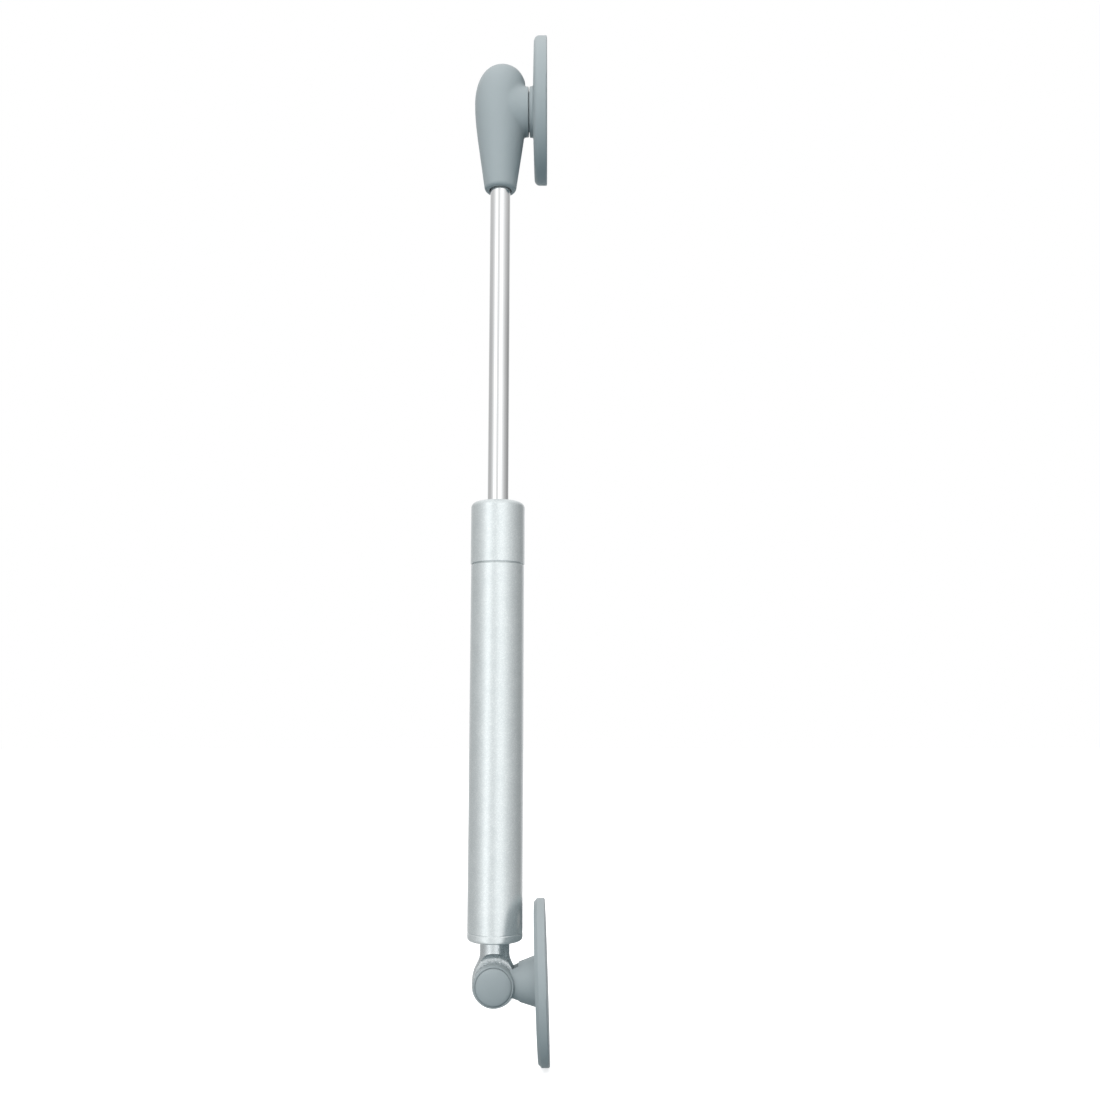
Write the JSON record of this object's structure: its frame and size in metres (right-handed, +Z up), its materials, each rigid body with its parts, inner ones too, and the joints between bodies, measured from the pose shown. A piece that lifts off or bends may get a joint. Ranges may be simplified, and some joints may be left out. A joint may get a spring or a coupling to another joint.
{
  "type": "gas spring",
  "caption": "Cabinet gas spring: chromed rod sliding in a silver tube, a plastic rod-end head and a clevis foot, each on a round screw plate.",
  "frame": {"origin": "centre of the side plate's back face, on the axis of the pivot that carries the rod-end head", "axes": "+X out of the side plate's back face, into the surface that it is screwed to; +Z up along the strut, from the tube towards the rod end; the pin's domed head faces -Y"},
  "size_m": [0.0228, 0.0426, 0.2945],
  "materials": {
    "grey_plastic": "moulded grey plastic with a fine satin skin",
    "silver_paint": "silver metallic paint with a fine sparkle",
    "rod_chrome": "ground and hard-chromed",
    "plated_steel": "bright zinc plating",
    "insert_brass": "turned",
    "piston_alloy": "turned",
    "black_plastic": "moulded",
    "seal_rubber": "smooth nitrile rubber"
  },
  "bodies": {
    "side_mount": {"side_plate": "grey_plastic", "pivot_stud": "plated_steel"},
    "rod_assembly": {"rod_end_housing": "grey_plastic", "stud_clip": "plated_steel", "rod_insert": "insert_brass", "rod": "rod_chrome", "piston_upper_washer": "plated_steel", "piston": "piston_alloy", "piston_lower_washer": "plated_steel"},
    "ring_carrier": {"piston_ring": "black_plastic"},
    "tube_assembly": {"tube": "silver_paint", "front_cap": "silver_paint", "rod_guide": "black_plastic", "rod_seal": "seal_rubber", "seal_washer": "plated_steel", "end_plug": "piston_alloy", "plug_o_ring": "seal_rubber", "end_eye": "plated_steel"},
    "door_mount": {"door_plate": "grey_plastic", "clevis_pin": "grey_plastic"}
  },
  "joints": [
    {"name": "side_pivot", "type": "hinge", "parent": "side_mount", "child": "rod_assembly", "pos_m": [-0.014, 0, 0], "axis": [1, 0, 0], "continuous": true},
    {"name": "rod_spin", "type": "hinge", "parent": "rod_assembly", "child": "ring_carrier", "pos_m": [-0.014, 0, -0.13895], "axis": [0, 0, 1], "continuous": true},
    {"name": "rod_slide", "type": "slide", "parent": "ring_carrier", "child": "tube_assembly", "axis": [0, 0, 1], "range_m": [0, 0.088], "stiffness_N_per_m": 330, "springref_m": -0.303},
    {"name": "door_pivot", "type": "hinge", "parent": "tube_assembly", "child": "door_mount", "pos_m": [-0.014, 0, -0.2524], "axis": [0, 1, 0], "range_deg": [-6, 190]}
  ]
}
